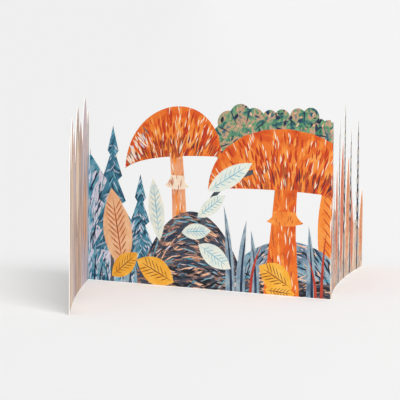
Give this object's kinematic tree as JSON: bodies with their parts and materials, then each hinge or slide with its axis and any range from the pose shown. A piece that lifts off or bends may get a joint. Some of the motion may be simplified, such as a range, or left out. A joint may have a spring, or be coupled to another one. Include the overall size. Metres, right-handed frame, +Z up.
{
  "type": "greeting card",
  "caption": "Die-cut folding greeting card: one printed board sheet with two folds that stands zigzag on its lower edge, its top cut into plants and toadstools.",
  "frame": {"origin": "on the surface it stands on, under the middle of the card's box", "axes": "+Z up, +X along the middle panel towards the fold of the back flap, +Y from the front flap towards the back flap, the printed side of the middle panel faces -Y"},
  "size_m": [0.1696, 0.2982, 0.115],
  "materials": {
    "card_board": "matt uncoated print"
  },
  "bodies": {
    "root": {"card": "card_board"}
  },
  "joints": []
}
